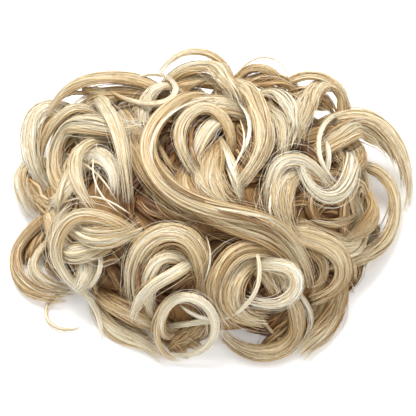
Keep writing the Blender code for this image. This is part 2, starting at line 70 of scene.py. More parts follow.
# The stage. Each light has its place, size and power.
FLOOR_SIZE = 6.0
FLOOR_WHITE = 0.98
FLOOR_GLOW = 0.12  # keeps the shadows beside the piece as faint as the photo's
WORLD_LIGHT = 0.85
LIGHTS = {"key": ((-0.15, 0.35, 0.9), 0.4, 9), "fill": ((0.4, -0.6, 0.8), 0.6, 1.5)}

# The nest is a dome about the middle of the floor, and this is half its width and depth, and its height.
NEST_HALVES = np.array(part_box("hair_nest")[1])

# The run of a lock
STEP = 4.2 * MM  # spacing of the rings along it
NEST_STEP = 5.0 * MM  # the same on the short curls of the nest
WISP_STEP = 3.5 * MM  # the same on the charted wisps and bundles
FEWEST_RINGS = 8
TIP_RUN = 4 * MM  # how far the hair runs on past the solid's tip
ROOT_RUN = 4 * MM
ROOT_SINK = 0.7  # how deep the root goes into the nest meanwhile, as a share of ROOT_RUN
TIP_HALF = 0.5  # half width past the solid's tip, as a share of the tip's
LEAN = 0.3  # how readily a lock's broad face turns to the camera
ROUNDING = 0.25
LOCK_ROUNDS = 6
SIDE_ROUNDS = 20
CURL_ROUNDS = 2
WISP_ROUNDS = 4

# How to tell the flat, round ends of a lock's solid
FLAT_COSINE = 0.9999
ROUND_WITHIN = 0.04

# What a lock is made of: flat ribbons over and under it, fine strands on the ribbons, free strands across
# them and stray hairs, and how wide and thick its section is, in half widths of its own path
Make = namedtuple("Make", "ribbons under strands free loose wide thick")
LOCK_WIDE = 1.45
LOCK_THICK = 0.85
LOCK_RIBBONS = 9
LOCK_UNDER = 2
LOCK_STRANDS = 11  # for each millimetre of the lock's half width
LOCK_FREE = 10  # the same
LOCK_LOOSE = 15
WISP_MAKE = Make(4, 0, 6, 8, 2, 1.0, 0.8)
BUNDLE_MAKE = Make(7, 0, 14, 18, 5, 1.3, 0.8)
NEST_CURL_MAKE = Make(3, 0, 2, 4, 1, LOCK_WIDE, LOCK_THICK)
LOW_CURL_MAKE = Make(6, 0, 12, 18, 5, LOCK_WIDE, LOCK_THICK)

# What changes along a lock: shares of its length from root to tip, and the value at each
ROOT_MIDDLE_TIP = [0, 0.5, 1]
SMOOTHED = ([0, 0.25, 0.4], [1, 1, 0.25])  # how far the solid's middle line is smoothed
TIP_SPREAD = ([0.3, 0.8], [0, 0.6])  # the least half width, as a share of the widest
GATHER = ([0, 0.1, 0.3, 1], [0.55, 0.8, 1, 1])  # how far out the hair lies
# darker at the root, as painted shade where it sinks into the nest, and paler towards the tip
TONE_AND_ROOT_SHADE_ALONG = ([0, 0.15, 0.5, 0.85, 1], [-0.30, -0.05, 0.05, 0.09, 0.14])
CORE_SWELL = ([0, 0.1, 0.7, 0.9, 1], [0.5, 0.76, 0.72, 0.3, 0.02])
RIBBON_SWELL = ([0, 0.12, 0.6, 0.85, 1], [0.7, 1, 0.9, 0.5, 0.05])
STRAND_SWELL = ([0, 0.8, 1], [1, 0.9, 0.4])
STRAY_SWELL = ([0, 0.6, 1], [1, 0.8, 0.4])
CURL_SWELL = ([0, 0.2, 0.8, 1], [0.8, 1, 0.8, 0.4])
WISP_SWELL = ([0, 0.2, 0.8, 1], [0.8, 1, 0.9, 0.35])

# A number drawn for each hair is given by its least and its most, or by its spread. Angles are in radians.
ANY_SHARE = (0, 1)
ANY_TURN = (0, 2 * math.pi)
GRAIN_START = (0, 400)  # millimetres across the grain
WAVES = (0.4, 1.5)  # in a lock's length
TWIST = (0.1, 0.8)
SPLAY_POWER = 4  # how late a lock's hair splays towards its tip

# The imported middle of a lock
CORE_CORNERS = 6
CORE_THICK = 0.95
# painted shade: how much darker the packed middle is than the hair over it
CORE_PAINTED_SHADE = 0.12

# The flat ribbons round it
RIBBON_CORNERS = 4
RIBBON_ARC_OVER = (math.radians(16), math.radians(164))
RIBBON_ARC_UNDER = (math.radians(220), math.radians(320))
RIBBON_SCATTER = 0.10
RIBBON_DRIFT = 0.30
RIBBON_DEPTH = (0.70, 0.90)
RIBBON_SPLAY = (-0.1, 0.5)
RIBBONS_PARTED = 0.3  # share of the ribbons that stand off from the rest half way
RIBBON_PARTING = (0.1, 0.5)
RIBBON_WIDE = (0.7, 1.5)
RIBBON_OVERLAP = 1.2
RIBBONS_ABREAST = 4  # a lock of fewer ribbons has none wider than if it had so many
RIBBON_THICK = (0.06, 0.13)
RIBBON_TONE = 0.07
RIBBON_ENDS = (0.74, 1.0)
RIBBON_LOWEST = 1.0 * MM
PAINTED_EDGE_SHADE = 0.22  # painted shade: how much darker the hair is down a lock's sides, and up to twice that beneath it

# The fine strands on the ribbons
STRAND_CORNERS = 3
STRAND_HALF = 0.17 * MM
STRAND_THICK = (0.6, 1.3)
STRAND_ASIDE = (-1, 1)
STRAND_DRIFT = 0.3
STRAND_LEAST_ROUND = 0.05  # how far a ribbon's face still stands out at its edges, squared
STRAND_PROUD = 0.5
STRAND_LEAST_RISE = 0.04
STRAND_LEAST_ASIDE = 0.1
STRAND_TONE = (0.02, 0.12)
STRAND_ENDS = (0.84, 1.0)
STRAND_LOWEST = 0.6 * MM
STRANDS_DARK = 0.14  # share of the strands that are darker
STRAND_SHADE = 0.25

# The free strands across the ribbons
FREE_ARC = (0.02 * math.pi, 0.98 * math.pi)
FREE_SLANT = 0.5
FREE_DRIFT = 0.3
FREE_DEPTH = (0.93, 1.04)
FREE_HEAVE = 0.06
FREE_SPLAY = (-0.2, 0.7)
FREE_TONE = (0.04, 0.14)

# The stray hairs
STRAY_LEAVES = (-0.2, 0.75)
STRAYS_BACK = 0.6  # share of the stray hairs that come back to the lock
STRAY_BOW = 0.7
STRAY_POWER = 1.6
STRAY_AWAY = (0.3, 2.5)
STRAY_SLANT = 1.2
STRAY_DEPTH = 0.85
STRAY_HEAVE = 0.12
STRAY_THICK = (0.45, 0.8)
STRAY_TONE = 0.08
STRAY_TONE_SPREAD = 0.12
STRAY_LOWEST = 0.5 * MM
LOWEST = 0.2 * MM  # of any hair over the floor

# Short curls all over the nest, dark as painted shade, and larger ones low round its sides and back, where
# no lock reaches
Curl = namedtuple("Curl", "radius turn lift half tone make")
NEST_CURL = Curl((9, 24), (1.9, 4.9), (1.5, 6.0), (1.6, 2.8), (-0.15, 0.32), NEST_CURL_MAKE)
NEST_CURLS = 108
NEST_CURL_UP = (0.02, 1.0)  # sine of how high on the dome
LOW_CURL = Curl((11, 15), (3.6, 5.6), (4, 8), (2.7, 3.3), (0.38, 0.74), LOW_CURL_MAKE)
LOW_CURLS = 27
LOW_CURL_UP = (math.radians(9), math.radians(25))
LOW_CURLS_FROM = -14  # degrees round from the right
LOW_CURLS_SWEEP = 208
LOW_CURL_ASIDE = (-0.3, 0.3)
NEST_PIECES = 2
CURL_ROOT = 0.7 * MM
CURL_CLOSES = (0.1, 0.5)  # how much of its radius a curl loses by its tip
CURL_BEDDED = 0.75  # how high a curl keeps off the floor, in half widths
ASKEW = (0.3, 0.2, 1.0)  # a direction that a curl's arc is measured from

# Seeds of the random numbers. Each lock adds its own number to the first.
LOCK_SEED = 1000
WISP_SEED = 21
NEST_SEED = 7

# The least and the most height over the floor of a wisp that passes beyond the nest
WISP_LOWEST = 0.8 * MM
WISP_HIGHEST = 12 * MM

# Thin wisps that stand out of the curls, and stray strands; the darkest, of tone under 0.2, are painted
# shade in the gaps between locks. Each row has the half width, the tone, the lift above the nest at the
# start, the middle and the end, and marks across and up from the chart's middle. All but the tone are in
# millimetres.
WISPS = {
    "thin_ring_right": (1.1, 0.95, (6, 17, 13), [
        (81.5, 41), (75.5, 44.5), (68, 46.5), (61, 45.5), (56.5, 42), (54, 36), (53, 29), (54.5, 22),
        (57.5, 16), (61.5, 11.5), (66.5, 9)]),
    "top_left_ring": (1.2, 0.8, (16, 17, 15), [
        (-51.5, 57.5), (-46.5, 54.5), (-40.5, 52), (-32.5, 50.5), (-24.5, 50.5), (-18, 53.5), (-15.5, 58.5),
        (-19.5, 63.5), (-27.5, 66), (-35.5, 64.5), (-42, 60), (-45.5, 55)]),
    "stray_loop_top": (0.43, 0.8, (2, 9, 6), [
        (10.5, 62.5), (14.5, 68), (19, 72), (23.5, 74.5), (28.5, 75), (33.5, 73), (37.5, 69), (39.5, 63),
        (39, 55)]),
    "left_loop": (0.9, 0.6, (2, 3, 1), [
        (-70.5, -42.5), (-78, -44.5), (-82.5, -49), (-84, -54.5), (-82, -59.5), (-77, -62.5), (-70.5, -63),
        (-64.5, -61)]),
    "front_strand": (0.9, 0.85, (12, 21, 14), [
        (21.5, -20), (24, -26.5), (24.5, -34.5), (23.5, -42.5), (19.5, -48.5), (13.5, -54), (5.5, -57.5)]),
    "eye_strand": (0.31, 0.88, (10, 15, 10), [
        (-56, 33), (-58.5, 27), (-59.5, 19.5), (-59, 12.5), (-56.5, 6.5), (-52, 1), (-46.5, -3.5)]),
    "front_low_pale": (1.5, 0.9, (4, 7, 3), [
        (44, -43.5), (48.5, -50), (51, -57.5), (49.5, -65.5), (44.5, -72), (39.5, -75)]),
    "hook_strand": (0.8, 0.92, (12, 18, 14), [
        (12.5, 52.5), (17.5, 48), (20, 41.5), (19.5, 34), (16.5, 27), (12.5, 21)]),
    "low_left_strand": (0.9, 0.92, (3, 8, 6), [
        (-57, -50.5), (-51.5, -54), (-43.5, -56), (-35.5, -59), (-27.5, -62.5)]),
    "ring_cross_upper": (0.8, 0.95, (6, 11, 10), [
        (-15.5, -50), (-11, -54), (-5.5, -56.5), (0.5, -58), (5.5, -58)]),
    "ring_cross_lower": (1.5, 0.85, (3, 8, 8), [
        (-23.5, -60.5), (-15.5, -60.5), (-8, -58.5), (-0.5, -57), (5, -58.5)]),
    "pale_arc_right": (1.1, 0.88, (8, 11, 3), [(51, 40.5), (55.5, 36), (59, 29), (59.5, 21), (57, 13.5)]),
    "left_post": (2, 0.72, (6, 11, 9), [
        (-67.5, 22.5), (-72.5, 16.5), (-75.5, 9), (-76.5, 1.5), (-77, -4.5)]),
    "low_ring_strand": (0.8, 0.7, (3, 6, 3), [(25.5, -56.5), (29.5, -63), (34.5, -68), (40.5, -71)]),
    "curl_inner_right": (2, 0.5, (5, 9, 6), [
        (46, -21.5), (52.5, -24), (57.5, -29), (59, -35), (55.5, -40), (49.5, -41.5)]),
    "drop_outer": (1.1, 0.93, (6, 11, 12), [
        (-56.5, -21.5), (-54.5, -27), (-55, -33), (-58, -38.5), (-62, -42.5)]),
    "left_fan_a": (0.8, 0.75, (1, 2, 1), [(-82.5, -28.5), (-79.5, -33), (-75.5, -36), (-71.5, -37.5)]),
    "left_fan_b": (0.8, 0.6, (1, 2, 1), [(-85.5, -33.5), (-80.5, -37.5), (-74.5, -40), (-69.5, -40.5)]),
    "crown_streak_a": (1.2, 0.55, (6, 8, 6), [(-29.5, 37.5), (-26.5, 29.5), (-22.5, 22.5), (-17.5, 16.5)]),
    "crown_streak_b": (1.3, 0.45, (5, 7, 5), [(-29.5, 28.5), (-25.5, 21), (-20.5, 15), (-15.5, 10.5)]),
    "eye_slat": (0.43, 0.72, (6, 8, 6), [(-54, 21.5), (-57, 16), (-58, 9.5), (-57.5, 3.5)]),
    "low_fold": (2, 0.5, (4, 8, 5), [(75.5, -1.5), (70.5, -7), (63.5, -10.5), (56.5, -10), (50, -7)]),
    "right_tuft": (1.2, 0.6, (4, 5, 2), [(67.5, -22.5), (71, -28.5), (72.5, -34), (72, -39.5)]),
    "skirt_end": (1.8, 0.55, (3, 5, 2), [(67, -40.5), (66.5, -49), (64, -57), (60, -63.5)]),
    "fold_right": (2.6, 0.72, (7, 8, 8), [(4, 33.5), (8.5, 26), (11, 17.5), (12.5, 9), (15, 1)]),
    "saddle_low": (1.6, 0.62, (5, 7, 7), [(-20.5, 60.5), (-11.5, 63), (-2.5, 62.5), (5, 59), (9, 54.5)]),
    "diag_left": (0.37, 0.8, (8, 13, 10), [
        (-74, 26.5), (-65.5, 22.5), (-57.5, 16.5), (-51.5, 9.5), (-47.5, 2.5)]),
    "left_top_ring": (1.3, 0.62, (4, 8, 3), [
        (-60.5, 55.5), (-66, 57.5), (-71.5, 57), (-76, 54.5), (-79, 49.5), (-81, 43.5)]),
    "wrap_strand": (0.43, 0.92, (8, 15, 14), [
        (-75.5, 33.5), (-67, 39), (-57, 42), (-47.5, 43), (-39, 41.5), (-31.5, 37)]),
    "ring_top_strand": (0.37, 0.8, (8, 14, 9), [
        (-75.5, 0.5), (-66.5, 4), (-57, 4.5), (-48.5, 1), (-40.5, -4.5)]),
    "left_ring_tail": (1.2, 0.92, (9, 8, 3), [
        (-66.5, -40.5), (-60.5, -46.5), (-56.5, -53.5), (-54.5, -61), (-55, -68)]),
    "faint_loop": (0.37, 0.95, (5, 7, 3), [
        (61.5, 43.5), (67, 48.5), (72, 52), (77, 53.5), (81.5, 52), (83.5, 47.5), (82.5, 41.5)]),
    "tuft_a": (0.43, 0.75, (2, 3, 1), [(66, -27.5), (69.5, -30), (73, -32.5), (75, -37)]),
    "tuft_b": (0.37, 0.7, (2, 3, 1), [(65.5, -31.5), (68.5, -35.5), (71, -40), (71.5, -44)]),
    "ring_strand": (0.37, 0.95, (14, 20, 15), [
        (14.5, 42.5), (17.5, 35), (16.5, 27.5), (12.5, 21), (9, 14.5)]),
    "crown_edge": (0.43, 0.93, (14, 25, 20), [
        (1.5, 53), (-6.5, 52.5), (-15.5, 49), (-23.5, 43), (-29, 35.5), (-31, 26.5), (-28, 17.5)]),
    "crown_right_strand": (0.43, 0.9, (10, 15, 8), [
        (13.5, 53.5), (21.5, 51), (28.5, 45.5), (32, 37.5), (31.5, 29), (27.5, 21)]),
    "centre_strand_a": (0.37, 0.85, (10, 15, 9), [(-2.5, -15.5), (0, -23.5), (-0.5, -32.5), (-4.5, -40.5)]),
    "centre_strand_b": (0.43, 0.9, (9, 15, 7), [
        (-29.5, -15.5), (-36, -22.5), (-39.5, -31.5), (-40, -41), (-37.5, -49)]),
    "river_strand_a": (0.7, 0.74, (18, 26, 20), [
        (-7.5, 0.5), (3.5, -2), (14.5, -3.5), (25.5, -5.5), (35.5, -10)]),
    # river_strand_b and river_strand_c are dark strokes of painted shade between the locks
    "river_strand_b": (0.5, 0.16, (16, 25, 19), [
        (-10.5, 3), (0.5, -0.5), (11.5, -4), (22.5, -8.5), (32, -13.5)]),
    "river_strand_c": (0.5, 0.12, (16, 24, 20), [
        (-17.5, 7.5), (-5.5, 0.5), (7.5, -4), (19.5, -7.5), (30.5, -13), (38, -19)]),
    "right_wisp_a": (0.43, 0.92, (10, 14, 8), [(30.5, 7.5), (28.5, 0), (29.5, -7), (33, -13)]),
    "right_wisp_b": (0.43, 0.95, (8, 12, 4), [
        (83.5, 20), (88.5, 13.5), (90, 5.5), (88.5, -3.5), (84, -11.5)]),
    "low_strand_a": (0.43, 0.85, (3, 6, 4), [(-53, -62.5), (-44.5, -65.5), (-36, -66.5), (-28, -66)]),
    "low_strand_b": (0.37, 0.6, (3, 6, 4), [
        (-55.5, -47.5), (-47.5, -53.5), (-38.5, -57.5), (-30.5, -58.5)]),
    "left_strand_a": (0.37, 0.9, (5, 9, 5), [
        (-85.5, 42.5), (-89, 33.5), (-89, 23.5), (-85, 14.5), (-78.5, 8.5)]),
    "left_strand_b": (0.37, 0.72, (8, 12, 9), [
        (-41.5, 47.5), (-36.5, 37.5), (-34.5, 26.5), (-31, 16.5), (-25, 8)]),
    "outer_right_strand": (0.37, 0.85, (6, 8, 2), [
        (63.5, 48.5), (73.5, 49.5), (83.5, 45.5), (91.5, 37.5), (97, 27.5), (99.5, 16.5)]),
    "bottom_left_limb": (1.9, 0.6, (10, 13, 8), [
        (-13.5, -43.5), (-22, -47.5), (-26.5, -55), (-28, -63.5), (-26, -71.5), (-21.5, -77), (-15, -79)]),
    # The dark wisps below are painted shade in the gaps between locks.
    "river_dark": (0.5, 0.12, (16, 24, 22), [
        (-30.5, 29.5), (-28.5, 21), (-24, 14), (-17.5, 8.5), (-9.5, 4), (-1.5, 1)]),
    "river_dark_low": (0.5, 0.18, (18, 25, 20), [
        (7.5, -2.5), (18.5, -5), (28.5, -8.5), (36.5, -14), (42.5, -21)]),
    "ring_left_dark": (0.8, 0.12, (14, 20, 12), [
        (-35.5, -28.5), (-36.5, -35.5), (-36, -42.5), (-34, -49.5)]),
    "crown_dark": (0.9, 0.12, (10, 19, 14), [(-7, 43.5), (-10.5, 37), (-11, 30), (-9, 23.5), (-5.5, 17.5)]),
    "front_ring_dark": (0.7, 0.14, (12, 17, 11), [(10.5, -28.5), (5.5, -35), (4, -43), (6, -50.5)]),
}

# Broader bundles behind and between the curls, charted the same way. Where their tone is low it is painted
# shade, for the curls over them, and the near-black ones are painted shade in the gaps.
BUNDLES = {
    "top_left_high": (3.4, 0.52, (1, 4, 2), [
        (-18.5, 52.5), (-26.5, 55.5), (-35, 57), (-44, 57), (-52.5, 56), (-60.5, 54), (-67.5, 50)]),
    "top_left_low": (3.6, 0.4, (1, 2, 1), [
        (-21.5, 50.5), (-30.5, 54), (-39.5, 55), (-48.5, 54.5), (-57, 52), (-64.5, 48), (-70.5, 43)]),
    "top_left_deep": (3.6, 0.25, (1, 1, 1), [
        (-27.5, 44.5), (-35.5, 49), (-44.5, 49.5), (-53, 47.5), (-60.5, 43.5)]),
    "top_right_high": (3.2, 0.58, (2, 4, 2), [
        (32.5, 56.5), (39.5, 62), (47, 65), (55, 64.5), (62, 60.5), (67, 54), (69, 47)]),
    "top_right_low": (3.4, 0.42, (1, 3, 1), [
        (39.5, 42.5), (44.5, 49.5), (50.5, 53.5), (56, 53.5), (60.5, 49.5), (62.5, 43)]),
    "left_outer": (3.6, 0.6, (1, 2, 1), [
        (-72.5, 48.5), (-79.5, 43.5), (-84.5, 36.5), (-86.5, 28), (-85, 19), (-80.5, 11.5)]),
    "left_inner": (3.6, 0.38, (1, 2, 1), [
        (-63.5, 46), (-71.5, 41), (-77, 34), (-79, 25.5), (-78, 17), (-74, 9.5)]),
    "left_low": (3, 0.62, (1, 1, 1), [(-92.5, 16.5), (-93, 9.5), (-90, 3), (-84.5, -2)]),
    "right_high": (3.2, 0.6, (5, 6, 2), [
        (57.5, 37.5), (66, 41.5), (75, 40.5), (83, 35.5), (89, 28), (91.5, 19)]),
    "right_edge": (3, 0.66, (3, 4, 1), [
        (69.5, 44), (78.5, 42.5), (86.5, 37), (92.5, 28.5), (95.5, 18.5), (94.5, 8.5)]),
    "left_under_wrap": (4, 0.28, (1, 1, 1), [
        (-53.5, 39.5), (-61.5, 36.5), (-68, 31), (-71.5, 23.5), (-71, 15), (-67, 7.5)]),
    "top_left_pale": (2.6, 0.68, (2, 5, 4), [
        (-64.5, 57.5), (-58, 57.5), (-51, 56), (-44, 53.5), (-37, 51.5)]),
    "top_mid": (3.6, 0.5, (2, 4, 3), [(-24, 57.5), (-15.5, 61), (-7, 62), (1.5, 60), (9, 55)]),
    "top_mid_right": (3.4, 0.42, (2, 4, 2), [
        (4.5, 58.5), (13, 61.5), (21.5, 61.5), (29.5, 58.5), (36, 53)]),
    "ring_inner_fan": (2.6, 0.42, (2, 3, 2), [(-26.5, -57.5), (-18.5, -62.5), (-10.5, -68), (-3.5, -72.5)]),
    "ring_inner_low": (2.4, 0.34, (2, 2, 2), [(-25.5, -65.5), (-18, -71), (-10.5, -75.5)]),
    # front_low_dark and left_low_dark: painted shade in the gaps low at the front and left
    "front_low_dark": (3, 0.12, (1, 1, 1), [(13.5, -56.5), (21.5, -60.5), (30, -62.5), (38.5, -59.5)]),
    "left_low_dark": (3.4, 0.14, (1, 1, 1), [
        (-71.5, -15.5), (-78, -19), (-82, -25), (-80.5, -32.5), (-75, -38)]),
    "front_ring_floor": (3.2, 0.5, (5, 7, 5), [(19.5, -28.5), (25, -32), (30, -37.5), (34, -44.5)]),
    "front_ring_floor_b": (2.8, 0.62, (5, 7, 5), [(28.5, -27), (34, -31), (38, -37), (39.5, -43)]),
    # centre_dark and low_left_dark: painted shade in the gaps between curls
    "centre_dark": (3.2, 0.06, (1, 2, 1), [
        (-39.5, 4.5), (-34, -0.5), (-28, -5), (-21.5, -8), (-14.5, -9.5)]),
    "low_left_dark": (3, 0.08, (1, 2, 1), [(-53.5, -28.5), (-48.5, -33.5), (-44.5, -39.5), (-41.5, -45.5)]),
    "top_right_back": (4.2, 0.3, (4, 6, 4), [
        (12.5, 55.5), (20.5, 61.5), (29.5, 63.5), (38.5, 60.5), (45.5, 54.5)]),
    "top_right_back_b": (4, 0.26, (4, 6, 4), [
        (33.5, 49.5), (40.5, 55.5), (49.5, 56.5), (58.5, 50.5), (62.5, 43.5)]),
    "left_back_low": (4.5, 0.46, (3, 5, 4), [(-91.5, 13.5), (-87.5, 6), (-82.5, -0.5), (-75.5, -4.5)]),
    "left_ring_floor": (4, 0.34, (2, 4, 3), [(-92, -29.5), (-90.5, -22.5), (-86.5, -16.5), (-80.5, -12.5)]),
    "bottom_ring_floor": (4.2, 0.44, (2, 3, 2), [
        (-21.5, -71.5), (-14.5, -67.5), (-7.5, -63), (-1.5, -57.5)]),
    "bottom_left_floor": (3.8, 0.42, (2, 3, 2), [
        (-54.5, -54.5), (-46.5, -57.5), (-37.5, -62), (-28.5, -68.5)]),
    "top_right_back_c": (3.6, 0.42, (6, 8, 6), [
        (25.5, 50.5), (33.5, 53.5), (43.5, 52.5), (53.5, 49.5), (61.5, 46.5)]),
    "left_eye_back": (3.6, 0.4, (6, 8, 6), [(-75.5, 26.5), (-70.5, 32), (-63.5, 35), (-56.5, 33.5)]),
    # front_low_dark_b and front_low_dark_c: painted shade low at the front
    "front_low_dark_b": (4.6, 0.14, (2, 4, 3), [
        (23.5, -62.5), (29.5, -61.5), (35.5, -56.5), (41.5, -49.5)]),
    "front_low_dark_c": (3.4, 0.24, (2, 3, 3), [(25, -72.5), (35.5, -64.5), (40.5, -58.5), (43.5, -52.5)]),
    "right_low_floor": (5, 0.3, (2, 4, 3), [(47.5, -66.5), (51.5, -59.5), (55.5, -52), (58.5, -44.5)]),
    "top_mid_back": (4.2, 0.6, (5, 7, 5), [(-18.5, 55.5), (-11.5, 60.5), (-3.5, 63), (5.5, 60.5)]),
    "top_right_back_d": (3.6, 0.52, (7, 9, 7), [(22.5, 55), (29, 52), (35, 48.5), (40, 43.5)]),
}

# Tone of each finish, from 0 for the darkest hair to 1 for the palest
SLOT_TONES = {"hair_pale": 0.82, "hair_cream": 0.68, "hair_honey": 0.55, "hair_tan": 0.43}

# How wide some locks lie, as a share of the usual, and their tone at the root, in the middle and at the tip
LOOKS = {
    "left_edge_low": (1, (0.6, 0.7, 0.74)),
    "river_upper": (0.74, (0.66, 0.5, 0.64)),
    "river_middle": (0.95, (0.42, 0.42, 0.5)),
    "bottom_ring": (0.52, (0.55, 0.9, 0.8)),
    "left_ring": (0.82, (0.45, 0.62, 0.82)),
    "left_ring_belly": (1, (0.5, 0.72, 0.6)),
    "left_big_wrap": (1, (0.62, 0.72, 0.66)),
    "front_ring_right": (0.74, (0.9, 0.84, 0.78)),
    "front_ring_wrap": (1, (0.55, 0.44, 0.5)),
    "front_low_ring": (0.9, (0.75, 0.5, 0.48)),
    "right_outer": (1.2, (0.5, 0.62, 0.62)),
    "right_c": (0.95, (0.62, 0.6, 0.5)),
    "right_low_curl": (1, (0.85, 0.6, 0.48)),
    "right_low_skirt": (1, (0.5, 0.48, 0.66)),
    "top_arch": (0.8, (0.55, 0.58, 0.66)),
    "left_edge": (1.1, (0.66, 0.85, 0.8)),
    "left_low_outer": (0.95, (0.5, 0.46, 0.46)),
    "left_low_inner": (0.85, (0.75, 0.8, 0.6)),
    "centre_left_outer": (0.95, (0.46, 0.6, 0.64)),
    "centre_left_inner": (0.6, (0.55, 0.8, 0.66)),
    "crown_fold_low": (1.15, (0.42, 0.6, 0.62)),
    "crown_ring_left": (0.78, (0.5, 0.68, 0.56)),
    "crown_ring_right": (0.92, (0.72, 0.66, 0.58)),
    "crown_fold": (0.85, (0.6, 0.8, 0.62)),
    "right_arch": (0.82, (0.66, 0.84, 0.74)),
    "right_u": (0.86, (0.74, 0.82, 0.86)),
    "right_drop": (1.1, (0.7, 0.66, 0.52)),
    "right_hoop_band": (1, (0.56, 0.7, 0.66)),
    "top_right_slant": (1, (0.55, 0.68, 0.66)),
    "top_left_post": (0.9, (0.66, 0.8, 0.7)),
    "top_saddle": (1, (0.72, 0.7, 0.6)),
    "left_slant": (0.9, (0.7, 0.82, 0.66)),
    "left_eye_outer": (0.95, (0.6, 0.66, 0.62)),
    "left_top_band": (0.85, (0.6, 0.74, 0.62)),
    "centre_slant": (1.1, (0.6, 0.48, 0.42)),
    "low_left_band": (1, (0.55, 0.7, 0.66)),
}

# Colours, linear, from dark to pale, and where each stands on its ramp
HAIR_STOPS = [
    (0.0, (0.16, 0.063, 0.016)),
    (0.25, (0.465, 0.272, 0.1)),
    (0.5, (0.67, 0.49, 0.25)),
    (0.75, (0.82, 0.705, 0.465)),
    (1.0, (0.94, 0.90, 0.775)),
]
NET_STOPS = [(0.55, (0.10, 0.065, 0.035)), (0.9, (0.36, 0.26, 0.16))]
ELASTIC_STOPS = [(0.0, (0.11, 0.075, 0.045)), (1.0, (0.27, 0.20, 0.13))]
COMB_STOPS = [(0.3, (0.075, 0.036, 0.018)), (0.7, (0.17, 0.085, 0.04))]

# The hair's streaks, by their scale across and along the grain, and how much of the tone each gives
FINE_GRAIN = (1.7, 0.03, 1)
FINE_SHARE = 1.0
BROAD_GRAIN = (0.5, 0.04, 1)
BROAD_SHARE = 0.7
NEST_GRAIN = (900, 140, 140)
NEST_SWIRL = 0.05
NEST_CONTRAST = 0.5
# painted shade: how far the nest's hair is set down the ramp, below the curls
NEST_PAINTED_SHADE = 0.1
ELASTIC_RIBS = 260


class Socket:
    """An output socket of a material's node, with the sums that are used on it."""

    def __init__(self, tree, socket):
        self.tree = tree
        self.socket = socket

    def node(self, kind, settings=None, out=0, **inputs):
        """Adds a node, sets it, fills its inputs by name or by number as _0, and gives an output."""
        made = self.tree.nodes.new(kind)
        for name, value in (settings or {}).items():
            if name == "stops":
                lay_stops(made.color_ramp, value)
            else:
                setattr(made, name, value)
        for name, value in inputs.items():
            place = int(name[1:]) if name[1:].isdigit() else name.replace("_", " ")
            if isinstance(value, Socket):
                self.tree.links.new(value.socket, made.inputs[place])
            else:
                made.inputs[place].default_value = value
        return Socket(self.tree, made.outputs[out])

    def maths(self, operation, *values):
        inputs = {f"_{place}": value for place, value in enumerate(values)}
        return self.node("ShaderNodeMath", {"operation": operation}, **inputs)

    def __add__(self, other):
        return self.maths("ADD", self, other)

    def __sub__(self, other):
        return self.maths("SUBTRACT", self, other)

    def __rsub__(self, other):
        return self.maths("SUBTRACT", other, self)

    def __mul__(self, other):
        return self.maths("MULTIPLY", self, other)

    __radd__ = __add__
    __rmul__ = __mul__


def lay_stops(ramp, stops):
    while len(ramp.elements) < len(stops):
        ramp.elements.new(0.5)
    for element, (place, colour) in zip(ramp.elements, stops):
        element.position = place
        element.color = (*colour, 1)


def new_material(name, roughness, **constants):
    """A material, a bare Socket that adds its first nodes, and its shader, which takes the constants."""
    material = bpy.data.materials.new(name)
    material.use_nodes = True
    shader = material.node_tree.nodes["Principled BSDF"]
    shader.inputs["Roughness"].default_value = roughness
    for key, value in constants.items():
        shader.inputs[key.replace("_", " ")].default_value = value
    return material, Socket(material.node_tree, None), shader


def feed(shader, name, value):
    value.tree.links.new(value.socket, shader.inputs[name])


def hair_material():
    """Blonde hair: each strand's tone, its own colour with painted shade laid on it, and fine streaks that
    run along it.
    """
    material, wire, shader = new_material("blonde_hair", roughness=0.34, Specular_IOR_Level=0.6)
    tone = wire.node("ShaderNodeAttribute", {"attribute_name": "tone"}, out="Fac")
    grain = wire.node("ShaderNodeAttribute", {"attribute_name": "grain"}, out="Vector")
    narrow = wire.node("ShaderNodeMapping", Vector=grain, Scale=FINE_GRAIN)
    fine = wire.node("ShaderNodeTexNoise", Vector=narrow, Scale=1, Detail=2)
    wide = wire.node("ShaderNodeMapping", Vector=grain, Scale=BROAD_GRAIN)
    broad = wire.node("ShaderNodeTexNoise", Vector=wide, Scale=1, Detail=1)
    level = tone + (fine - 0.5) * FINE_SHARE + (broad - 0.5) * BROAD_SHARE
    feed(shader, "Base Color", wire.node("ShaderNodeValToRGB", {"stops": HAIR_STOPS}, Fac=level))
    feed(shader, "Normal", wire.node("ShaderNodeBump", Height=fine, Strength=0.5, Distance=0.5 * MM))
    return material


def nest_material():
    """Short hair in the shade of the curls, set low on the ramp as painted shade: streaks that swirl round
    the dome.
    """
    material, wire, shader = new_material("nest_hair", roughness=0.7)
    place = wire.node("ShaderNodeTexCoord", out="Object")
    swirl = wire.node("ShaderNodeTexNoise", Vector=place, Scale=30, Detail=1, out="Color")
    bent = wire.node("ShaderNodeVectorMath", {"operation": "SCALE"}, Vector=swirl, Scale=NEST_SWIRL)
    moved = wire.node("ShaderNodeVectorMath", {"operation": "ADD"}, _0=place, _1=bent)
    drawn = wire.node("ShaderNodeMapping", Vector=moved, Scale=NEST_GRAIN)
    streaks = wire.node("ShaderNodeTexNoise", Vector=drawn, Scale=1, Detail=2)
    level = streaks * NEST_CONTRAST - NEST_PAINTED_SHADE
    feed(shader, "Base Color", wire.node("ShaderNodeValToRGB", {"stops": HAIR_STOPS}, Fac=level))
    feed(shader, "Normal", wire.node("ShaderNodeBump", Height=streaks, Strength=0.7, Distance=0.8 * MM))
    return material


